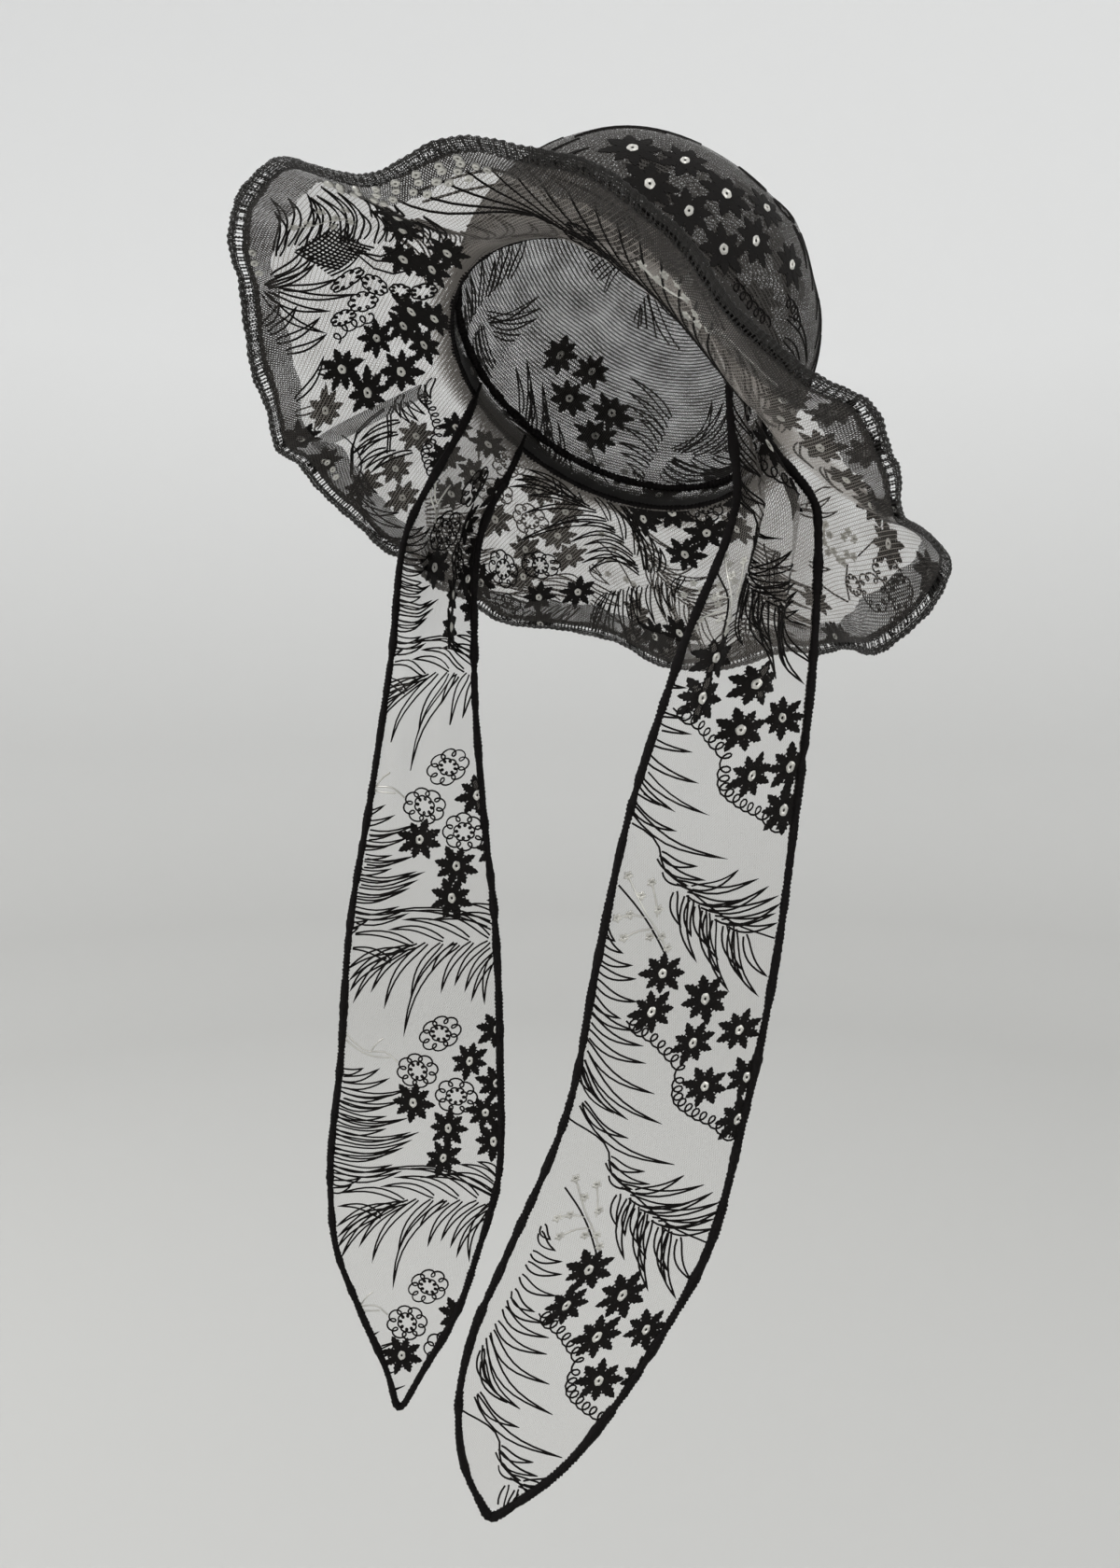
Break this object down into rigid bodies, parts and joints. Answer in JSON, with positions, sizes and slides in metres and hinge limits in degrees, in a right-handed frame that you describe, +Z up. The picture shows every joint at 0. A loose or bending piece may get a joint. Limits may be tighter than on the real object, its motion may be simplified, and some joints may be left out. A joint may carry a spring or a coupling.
{
  "type": "veil hat",
  "caption": "Soft sun hat of embroidered net with a rounded crown, a wide wavy brim and long pointed scarf ties hanging from inside it.",
  "frame": {"origin": "centre of the head opening, in the plane of the seam between crown and brim", "axes": "+Z up as worn, -Y the wearer's front, +X the wearer's left; the crown's own axis leans back 30 degrees from +Z towards +Y"},
  "size_m": [0.3458, 0.3509, 0.7181],
  "materials": {
    "net": "black net in two layers with flower embroidery, matt",
    "hem_net": "black net turned over and gathered, matt",
    "veil": "one layer of clear net with black embroidery, matt",
    "rolled_edge": "black overlocked thread, matt"
  },
  "bodies": {
    "root": {"crown": "net", "brim": "net", "brim_hem": "hem_net", "tie_left": "veil", "tie_right": "veil", "tie_left_edge": "rolled_edge", "tie_right_edge": "rolled_edge"}
  },
  "joints": []
}
